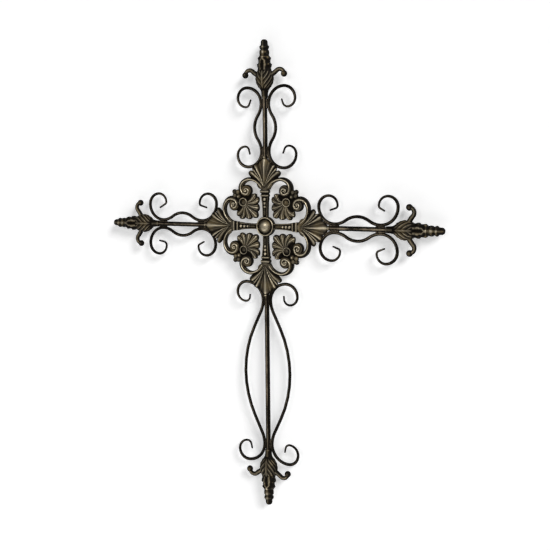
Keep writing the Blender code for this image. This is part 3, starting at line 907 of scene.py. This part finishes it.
# %% [markdown]
# Blender can bend a wire as the smith does. A circle is the wire's section. Each bend spins it a
# little further round the bend's own centre, and each straight moves it on. Near the tips the
# ring is scaled down a little at a time, because the smith drew the ends out thin.

# %% Bend half a wire
WIRE_SIDES = 14
WIRE_TAPER = 70.0
WIRE_TIP_RADIUS = 1.8
TIP_SHRINK = 0.55
TIP_BULGE = 0.4
BEND_STEP = math.radians(7)
STRAIGHT_STEPS = 3


def ring_center(ring):
    return sum((vert.co for vert in ring), Vector()) / len(ring)


def ring_edges(shape, ring):
    """The open edges that join the ring's vertices."""
    chosen = set(ring)
    return [
        edge
        for edge in shape.edges
        if (edge.is_boundary or edge.is_wire) and edge.verts[0] in chosen and edge.verts[1] in chosen
    ]


def bend_half(shape, side, direction, bow, middle, moves, length):
    """One half of a wire, from its crown towards one tip. direction is 1 outwards and -1 inwards."""
    ring = bmesh.ops.create_circle(
        shape,
        segments=WIRE_SIDES,
        radius=WIRE_RADIUS,
        matrix=Matrix.Translation((side * bow, 0, middle)),
    )["verts"]
    heading, travelled, thickness = 0.0, 0.0, WIRE_RADIUS

    def forward():
        return Vector((side * math.sin(heading), 0, direction * math.cos(heading)))

    for size, turn in moves:
        count = STRAIGHT_STEPS if turn is None else max(1, math.ceil(abs(turn) / BEND_STEP))
        for _ in range(count):
            center, edges = ring_center(ring), ring_edges(shape, ring)
            if turn is None:
                ring = verts_of(bmesh.ops.extrude_edge_only(shape, edges=edges)["geom"])
                bmesh.ops.translate(shape, vec=forward() * (size / count), verts=ring)
                travelled += size / count
            else:
                sense = 1 if turn > 0 else -1
                outward = Vector((side * math.cos(heading), 0, -direction * math.sin(heading)))
                made = bmesh.ops.spin(
                    shape,
                    geom=list(ring) + edges,
                    cent=center + outward * size * sense,
                    axis=(0, 1, 0),
                    angle=turn / count * side * direction,
                    steps=1,
                )["geom_last"]
                ring = verts_of(made)
                heading += turn / count
                travelled += size * abs(turn) / count
            share = min(1.0, (length - travelled) / WIRE_TAPER)
            tapered = WIRE_TIP_RADIUS + (WIRE_RADIUS - WIRE_TIP_RADIUS) * share
            center = ring_center(ring)
            for vert in ring:
                vert.co = center + (vert.co - center) * (tapered / thickness)
            thickness = tapered
    tip = verts_of(bmesh.ops.extrude_edge_only(shape, edges=ring_edges(shape, ring))["geom"])
    center = ring_center(tip)
    for vert in tip:
        vert.co = center + (vert.co - center) * TIP_SHRINK + forward() * thickness * TIP_BULGE


print("a bend takes a step every", round(math.degrees(BEND_STEP)), "degrees")

# %% [markdown]
# Both halves of a wire start at the crown of its bow, so merging their doubles makes them one. A
# wire is made fully light all round at first, and the finish then paints shade on its flanks, which
# leaves a painted highlight along its front.

# %% Make the eight wires
# Painted highlight: every vertex starts fully light, so the flank shade leaves a pale stripe down the
# front.
def paint_highlight_all_over(shape):
    worn = shape.verts.layers.float["worn"]
    for vert in shape.verts:
        vert[worn] = 1.0


def make_scroll(arm, side, side_name):
    sizes = LONG_SCROLL if arm == "bottom" else SHORT_SCROLL
    shape = new_shape()
    for direction, curl in zip((1, -1), CURLS[f"{arm}_{side_name}"]):
        moves, middle, length = scroll_moves(REACH[arm], curl, **sizes)
        bend_half(shape, side, direction, sizes["bow"], middle, moves, length)
    bmesh.ops.remove_doubles(shape, verts=shape.verts, dist=SEAM)
    bmesh.ops.transform(shape, matrix=arm_place(arm), verts=shape.verts)
    paint_highlight_all_over(shape)
    wire = finish_shape(shape, f"bent_wire_{arm}_{side_name}", wire_finish, 5.0)
    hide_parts(f"scroll_{arm}_{side_name}")


SIDE_NAMES = {
    "top": ("left", "right"),
    "right": ("upper", "lower"),
    "bottom": ("right", "left"),
    "left": ("lower", "upper"),
}
for arm_name, names in SIDE_NAMES.items():
    for wire_side, wire_name in zip((-1, 1), names):
        make_scroll(arm_name, wire_side, wire_name)

# %% [markdown]
# ## The rods
# The rods are plain round bar. A circle is extruded to a cylinder with many rings along it. A
# very slight unevenness, as from rolling and painting, keeps the highlight from being dead
# straight.

# %% Roll the rods
ROD_SIDES = 28
ROD_RINGS = 60
ROD_UNEVENNESS = 0.012


def make_rod(arm):
    low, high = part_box(f"rod_{arm}")
    to_arm = Matrix.Rotation(-math.radians(TURNS[arm]), 4, "Y") @ Matrix.Translation((0, -AXIS_Y, 0))
    ends = sorted((to_arm @ corner).z / MM for corner in (low, high))
    shape = new_shape()
    bmesh.ops.create_circle(
        shape,
        cap_ends=True,
        segments=ROD_SIDES,
        radius=ROD_RADIUS,
        matrix=Matrix.Translation((0, 0, ends[0])),
    )
    top = verts_of(bmesh.ops.extrude_face_region(shape, geom=shape.faces[:])["geom"])
    bmesh.ops.translate(shape, vec=(0, 0, ends[1] - ends[0]), verts=top)
    sides = [edge for edge in shape.edges if abs(edge.verts[0].co.z - edge.verts[1].co.z) > 1]
    bmesh.ops.subdivide_edges(shape, edges=sides, cuts=ROD_RINGS)
    for vert in shape.verts:
        wave = math.sin(vert.co.z * 0.31 + vert.co.x) * math.sin(vert.co.z * 0.07)
        thinner = 1 - ROD_UNEVENNESS * (1 + wave)
        vert.co.x *= thinner
        vert.co.y *= thinner
    bmesh.ops.transform(shape, matrix=arm_place(arm), verts=shape.verts)
    # A painted highlight along the rod's front, with painted shade on its flanks.
    paint_highlight_all_over(shape)
    rod = finish_shape(shape, f"round_rod_{arm}", rod_finish, 4.2)
    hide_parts(f"rod_{arm}")


for arm_name in TURNS:
    make_rod(arm_name)

# %% [markdown]
# ## The finials
# Each arm ends in a cast finial: a sleeve, a bulb wrapped in leaves whose ribs branch from a vein,
# a rolled leaf tip, two scalloped rings and a blunt end, with a horn that curls over on either
# side. The body is a rule round the arm's axis. Its stations give its half width and half depth,
# and the carving is a small height added on top.

# %% Rules of the finial
FINIAL_STATIONS = (
    (0.0, 6.0, 6.0),
    (1.6, 6.3, 6.2),
    (8.0, 6.6, 6.4),
    (13.5, 7.4, 7.0),
    (18.0, 9.6, 8.6),
    (22.5, 13.4, 10.8),
    (30.0, 17.2, 12.5),
    (37.0, 18.3, 13.0),
    (44.0, 17.6, 12.5),
    (50.0, 15.4, 11.7),
    (54.0, 13.8, 11.0),
    (57.0, 13.6, 11.0),
    (61.0, 15.3, 11.8),
    (64.0, 15.3, 11.8),
    (67.5, 12.4, 10.6),
    (71.0, 12.8, 10.8),
    (76.0, 13.3, 10.9),
    (79.5, 10.6, 9.6),
    (82.0, 9.5, 8.9),
    (86.0, 9.9, 9.2),
    (90.0, 9.8, 9.1),
    (93.0, 7.8, 7.6),
    (96.0, 9.5, 9.0),
    (99.0, 9.7, 9.1),
    (101.5, 7.3, 7.2),
    (104.0, 6.9, 6.9),
    (107.6, 6.9, 6.9),
    (110.0, 5.9, 5.9),
    (111.7, 4.2, 4.2),
    (FINIAL_LENGTH, 1.6, 1.6),
)
MOUTH_END = 2.5
BULB_START = 15.0
BULB_END = 54.0
TIP_LEAF_END = 80.0
SCALLOPS = 8


def bulb_carving(along, facing):
    """Ribs that branch upwards from a vein down the front, each with a finer one beside it."""
    strength = eased(((BULB_START, 0.0), (21.0, 1.0), (50.0, 1.0), (BULB_END, 0.5)), along)[0]
    vein = peak(facing, 0.11)
    phase = (along - 19.0 * facing - 3.0 * facing**2) / 10.8
    rib = (0.5 + 0.5 * math.cos(math.tau * phase)) ** 1.8
    fine = 0.6 * (0.5 + 0.5 * math.cos(math.tau * (phase - 0.42))) ** 6
    clear = 1 - peak(facing, 0.20)
    height = strength * (vein + (1.5 * rib + fine) * clear - 0.8)
    return height, strength * (0.85 * vein + (rib + 0.9 * fine) * clear) - 0.08


def tip_leaf_carving(along, facing):
    """The leaf's rolled tip: two upright ridges that meet in an arch, with curls at the sides."""
    closing = eased(((56.0, 0.9), (70.0, 1.0), (77.0, 0.0)), along)[0]
    ridge = peak(facing - 0.42 * closing, 0.19)
    curls = (0.5 + 0.5 * math.cos(math.tau * (along - 62.0 - 3.0 * facing) / 11.5)) ** 1.5
    side = peak(facing - 1.05, 0.34) * curls
    cuff = peak(along - 79.0, 1.6)
    height = 1.1 * ridge + side + 0.7 * cuff - 0.6
    return height, 0.85 * ridge + 0.75 * side + 0.5 * cuff - 0.06


def finial_carving(along, angle):
    """Height of the carving in millimetres and how rubbed it is, at a place along and round,
    with a painted highlight down the front of the sleeve, the rings and the end.
    """
    facing = abs(math.remainder(angle, math.pi))
    if along < BULB_START:
        mouth = peak(along, MOUTH_END)
        # Painted highlight: the sleeve is lighter where it faces the front.
        return 0.0, 0.15 + 0.5 * mouth + 0.3 * peak(facing, 0.4)
    if along < BULB_END:
        return bulb_carving(along, facing)
    if along < TIP_LEAF_END:
        return tip_leaf_carving(along, facing)
    ring = max(peak(along - 88.0, 3.2), peak(along - 97.6, 2.6))
    scallop = 0.5 + 0.5 * math.cos(SCALLOPS * angle)
    # Painted highlight: upright makes a pale stripe down the front of the rings and the end.
    upright = peak(facing, 0.35)
    return 0.35 * ring * scallop - 0.15, 0.3 * ring + 0.25 * ring * scallop + 0.5 * upright


def finial_rule(u, v):
    along = FINIAL_LENGTH * v
    angle = math.tau * u
    width, depth = eased(FINIAL_STATIONS, along)
    height, rubbed = finial_carving(along, angle)
    if v in (0.0, 1.0):
        return 0.0, 0.0, along, rubbed
    return (width + height) * math.sin(angle), (depth + height * 0.8) * math.cos(angle), along, rubbed


widest = max(FINIAL_STATIONS, key=lambda station: station[1])
print("a finial is widest", widest[0], "mm from its mouth")

# %% [markdown]
# A horn is tapered and grooved, and ends in a ball. It is a rule again, because its groove follows
# it all along: a straight run from inside the bulb that dips a little, then part of a circle, with
# a round section about that line.

# %% Rule of the horn
HORN_ROOT = (10.0, 43.0)
HORN_SLOPE = math.radians(30)
HORN_RUN = 20.5
HORN_RADIUS = 9.5
HORN_TURN = math.radians(118)
HORN_DIP = 1.4
HORN_SIZES = ((0.0, 5.4), (0.35, 4.8), (0.7, 4.2), (1.0, 3.8))
GROOVE_DEPTH = 0.16
GROOVE_ANGLE = 0.75
GROOVE_WIDTH = 0.25


def horn_rule(side):
    heading = math.radians(90) - HORN_SLOPE
    end = (HORN_ROOT[0] + HORN_RUN * math.sin(heading), HORN_ROOT[1] + HORN_RUN * math.cos(heading))
    pivot = (end[0] + HORN_RADIUS * math.cos(heading), end[1] - HORN_RADIUS * math.sin(heading))
    length = HORN_RUN + HORN_RADIUS * HORN_TURN

    def rule(u, v):
        travelled = length * u
        if travelled < HORN_RUN:
            turn = heading
            dip = HORN_DIP * math.sin(math.pi * travelled / HORN_RUN)
            across = HORN_ROOT[0] + travelled * math.sin(turn)
            along = HORN_ROOT[1] + travelled * math.cos(turn) - dip
        else:
            turn = heading + (travelled - HORN_RUN) / HORN_RADIUS
            across = pivot[0] - HORN_RADIUS * math.cos(turn)
            along = pivot[1] + HORN_RADIUS * math.sin(turn)
        size = eased(HORN_SIZES, u)[0]
        angle = math.tau * v
        crest = max(0.0, math.cos(angle))
        aside = abs(math.remainder(angle, math.tau))
        grooved = size * (1 - GROOVE_DEPTH * peak(aside - GROOVE_ANGLE, GROOVE_WIDTH))
        radial = grooved * math.sin(angle)
        front = grooved * 0.9 * math.cos(angle)
        across -= radial * math.cos(turn)
        along += radial * math.sin(turn)
        return side * across, front, along, 0.05 + 0.7 * crest**4

    return rule


print("a horn is", round(HORN_RUN + HORN_RADIUS * HORN_TURN, 1), "mm long")

# %% [markdown]
# The finial's body, its horns and their balls are laid at the origin, and then moved out to the
# end of their arm.

# %% Make the four finials
def make_finial(arm):
    shape = new_shape()
    lay_sheet(shape, 112, 150, finial_rule)
    for side in (-1, 1):
        rule = horn_rule(side)
        lay_sheet(shape, 44, 20, rule)
        tip = [rule(1.0, share)[:3] for share in (0.0, 0.5)]
        across, along = ((tip[0][axis] + tip[1][axis]) / 2 for axis in (0, 2))
        lay_ball(shape, across, 0.0, along, (6.3, 5.8, 6.3), 22, most=0.45)
        lay_ball(shape, across - side * 1.2, 4.4, along + 0.8, (2.4, 2.2, 2.4), 14, most=0.7)
    bmesh.ops.translate(shape, vec=(0, 0, REACH[arm] - FINIAL_LENGTH), verts=shape.verts)
    bmesh.ops.transform(shape, matrix=arm_place(arm), verts=shape.verts)
    finial = finish_shape(shape, f"leaf_finial_{arm}", finial_finish, 0.9)
    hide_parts(f"finial_{arm}")


for arm_name in TURNS:
    make_finial(arm_name)

# %% [markdown]
# ## The welds
# Each wire is welded to its rod where it touches it, at either end of its bow. A thicker fillet
# fills the corner between each fan's tip and the wires, and spatter clings to one scroll beside
# the foot's finial. A weld is a small lumpy seam of melted iron, painted over with the rest.
# Short runs of overlapping balls with a little scatter give that lumpiness. A fillet's balls are
# given as how far across they lie, and how far beyond the fan's tip.

# %% Run the weld seams
WELD_LENGTH = 15.0
WELD_BALLS = 8
FILLET = ((12.5, -10.5), (11.0, -8.0), (9.6, -5.5), (8.2, -2.8), (6.9, 0.0), (5.9, 2.8))
SPATTER_START = (-10.5, 445.5)
SPATTER_END = (-17.5, 452.5)
SPATTER_BALLS = 9


def lay_spatter(shape, chance):
    """The rough spatter on the foot's right scroll, beside the finial."""
    for index in range(SPATTER_BALLS):
        share = index / (SPATTER_BALLS - 1)
        across = SPATTER_START[0] + (SPATTER_END[0] - SPATTER_START[0]) * share
        along = SPATTER_START[1] + (SPATTER_END[1] - SPATTER_START[1]) * share
        size = chance.uniform(0.9, 1.5)
        lay_ball(
            shape,
            across + chance.uniform(-1.2, 1.2),
            chance.uniform(0.5, 2.2),
            along + chance.uniform(-1.2, 1.2),
            (size, size, size),
            10,
        )


def make_welds(arm):
    chance = random.Random(f"welds {arm}")
    sizes = LONG_SCROLL if arm == "bottom" else SHORT_SCROLL
    mouth = REACH[arm] - FINIAL_LENGTH
    middle = (FAN_TIP + mouth) / 2
    contact = (mouth - FAN_TIP) / 2 - sizes["inset"]
    shape = new_shape()
    for side in (-1, 1):
        for direction in (-1, 1):
            for index in range(WELD_BALLS):
                along = middle + direction * (contact + (index / (WELD_BALLS - 1) - 0.5) * WELD_LENGTH)
                across = side * (ROD_RADIUS + WIRE_GAP / 2 + chance.uniform(-0.3, 0.3))
                size = chance.uniform(1.5, 2.1)
                front = chance.uniform(0.2, 1.0)
                lay_ball(shape, across, front, along, (size, size * 1.1, size * 1.3), 10)
        for across, beyond in FILLET:
            size = chance.uniform(1.7, 2.2)
            lay_ball(shape, side * across, 0.6, FAN_TIP + beyond, (size, size * 1.1, size * 1.4), 10)
    if arm == "bottom":
        lay_spatter(shape, chance)
    bmesh.ops.transform(shape, matrix=arm_place(arm), verts=shape.verts)
    seam = finish_shape(shape, f"weld_seams_{arm}", rod_finish, 0.6)


for arm_name in TURNS:
    make_welds(arm_name)

# %% [markdown]
# ## The wall
# The cross hangs on a plain pale wall, which takes its soft shadow. The wall is one sheet with a
# curve into a floor far below, made by extruding an edge down, spinning it through a quarter turn
# and extruding it forwards. It glows a little, so that it comes out white where no shadow falls.
# Seen from behind it is clear, so that the back of the cross can be looked at too.

# %% Hang the wall
WALL_HALF_WIDTH = 4.0
WALL_TOP = 3.0
FLOOR_LEVEL = -3.0
COVE_RADIUS = 0.5
FLOOR_REACH = 3.5
WALL_GLOW = 0.412
WALL_GAP = 0.0004
COVE_STEPS = 12


def wall_material():
    paint = Paint("pale_wall")
    grain = paint.noise(60.0, 2.0)
    white = paint.mix(grain, (0.90, 0.90, 0.90, 1.0), (0.93, 0.93, 0.93, 1.0))
    paint.surface(
        Base_Color=white,
        Roughness=0.9,
        Emission_Color=(1.0, 1.0, 1.0, 1.0),
        Emission_Strength=WALL_GLOW,
    )
    clear = paint.node("ShaderNodeBsdfTransparent")
    behind = paint.node("ShaderNodeNewGeometry", output="Backfacing")
    shown = paint.node(
        "ShaderNodeMixShader", inputs={0: behind, 1: Value(paint, paint.shader.outputs[0]), 2: clear}
    )
    paint.feed(paint.tree.nodes["Material Output"].inputs["Surface"], shown)
    return paint.material


def make_wall():
    shape = bmesh.new()
    ends = [shape.verts.new((x, WALL_GAP, WALL_TOP)) for x in (-WALL_HALF_WIDTH, WALL_HALF_WIDTH)]
    made = bmesh.ops.extrude_edge_only(shape, edges=[shape.edges.new(ends)])["geom"]
    low = verts_of(made)
    bmesh.ops.translate(shape, vec=(0, 0, FLOOR_LEVEL + COVE_RADIUS - WALL_TOP), verts=low)
    bottom = [item for item in made if isinstance(item, bmesh.types.BMEdge)]
    turned = bmesh.ops.spin(
        shape,
        geom=low + [item for item in bottom if set(item.verts) == set(low)],
        cent=(0, WALL_GAP - COVE_RADIUS, FLOOR_LEVEL + COVE_RADIUS),
        axis=(1, 0, 0),
        angle=-math.radians(90),
        steps=COVE_STEPS,
    )["geom_last"]
    last = [item for item in turned if isinstance(item, bmesh.types.BMEdge)]
    front = verts_of(bmesh.ops.extrude_edge_only(shape, edges=last)["geom"])
    bmesh.ops.translate(shape, vec=(0, -FLOOR_REACH, 0), verts=front)
    bmesh.ops.recalc_face_normals(shape, faces=shape.faces)
    shape.normal_update()
    wall_faces = [face for face in shape.faces if abs(face.normal.y) > 0.99]
    if wall_faces[0].normal.y > 0:
        bmesh.ops.reverse_faces(shape, faces=shape.faces)
    mesh = bpy.data.meshes.new("wall")
    shape.to_mesh(mesh)
    shape.free()
    mesh.shade_smooth()
    mesh.materials.append(wall_material())
    wall = bpy.data.objects.new("wall", mesh)
    bpy.context.scene.collection.objects.link(wall)
    print("the wall has", len(mesh.polygons), "faces")


make_wall()

# %% [markdown]
# ## Light
# Broad far light high on the right throws the soft shadow down to the left. It is a sun lamp, as
# only its direction and its angle matter, and it falls evenly on the whole wall. A round lamp in
# front, to the left of the camera and above it, gives the rods and wires their narrow stripe.

# %% Set the lamps
AIM = Vector((0.0, 0.0, -0.1))


def add_lamp(name, kind, place, power, spread):
    """A lamp aimed at the middle of the cross; spread is its size, or its angle for far light."""
    data = bpy.data.lights.new(name, kind)
    data.energy = power
    if kind == "SUN":
        data.angle = math.radians(spread)
    else:
        data.shape = "DISK"
        data.size = spread
    lamp = bpy.data.objects.new(name, data)
    lamp.location = place
    lamp.rotation_euler = (Vector(place) - AIM).to_track_quat("Z", "Y").to_euler()
    bpy.context.scene.collection.objects.link(lamp)
    print(name, "of kind", kind)


add_lamp("far_light_high_right", "SUN", (5.2, -3.6, 3.8), 2.4, 23)
add_lamp("front_lamp", "AREA", (-1.0, -4.8, 1.6), 26, 1.2)

# %% [markdown]
# The room's own light is weak, because it would fill the shadow. Where the camera looks past the
# wall, the room still has to be plain white. The Light Path node tells the two apart: it is 1 for
# a ray that comes straight from the camera, and 0 for light that falls on things.

# %% Set the room
ROOM_BRIGHTNESS = 0.05

world = bpy.data.worlds.new("pale_room")
world.use_nodes = True
world_tree = world.node_tree
backdrop = world_tree.nodes["Background"]
ray = world_tree.nodes.new("ShaderNodeLightPath")
strength = world_tree.nodes.new("ShaderNodeMapRange")
strength.inputs["To Min"].default_value = ROOM_BRIGHTNESS
strength.inputs["To Max"].default_value = 1.0
world_tree.links.new(ray.outputs["Is Camera Ray"], strength.inputs["Value"])
world_tree.links.new(strength.outputs["Result"], backdrop.inputs["Strength"])
backdrop.inputs["Color"].default_value = (1.0, 1.0, 1.0, 1.0)
bpy.context.scene.world = world
bpy.context.scene.view_settings.view_transform = "Standard"
print("room brightness", ROOM_BRIGHTNESS)

# %% [markdown]
# ## The camera
# The photograph was taken from the right of the cross and a little above its boss, from about
# two metres. Those angles were found from the tips of the arms, whose places in the frame are
# known. The camera looks straight at the boss, and its shift brings the boss to its place in the
# picture.

# %% Set the camera
PICTURE = 550
BOSS_PIXEL = (266.15, 226.42)
AZIMUTH = math.radians(27.66)
ELEVATION = math.radians(4.23)
ROLL = math.radians(-0.61)
DISTANCE = 1.999
FOCAL_PIXELS = 1027.2

camera_data = bpy.data.cameras.new("photo_camera")
camera_data.sensor_width = 36.0
camera_data.lens = FOCAL_PIXELS / PICTURE * camera_data.sensor_width
camera_data.shift_x = (PICTURE / 2 - BOSS_PIXEL[0]) / PICTURE
camera_data.shift_y = (BOSS_PIXEL[1] - PICTURE / 2) / PICTURE
camera = bpy.data.objects.new("photo_camera", camera_data)
back = Vector(
    (
        math.sin(AZIMUTH) * math.cos(ELEVATION),
        -math.cos(AZIMUTH) * math.cos(ELEVATION),
        math.sin(ELEVATION),
    )
)
camera.rotation_mode = "QUATERNION"
camera.location = Vector((0, AXIS_Y, 0)) + back * DISTANCE
roll = Matrix.Rotation(ROLL, 3, "Z").to_quaternion()
camera.rotation_quaternion = (-back).to_track_quat("-Z", "Y") @ roll
bpy.context.scene.collection.objects.link(camera)
bpy.context.scene.camera = camera
print("lens", round(camera_data.lens, 1), "mm")

# %% [markdown]
# ## The sizes
# The carving has to stay inside the box of the solids. The box of the solids is printed here.

# %% Write the sizes and finish
print("cad box", cad_low, cad_high)
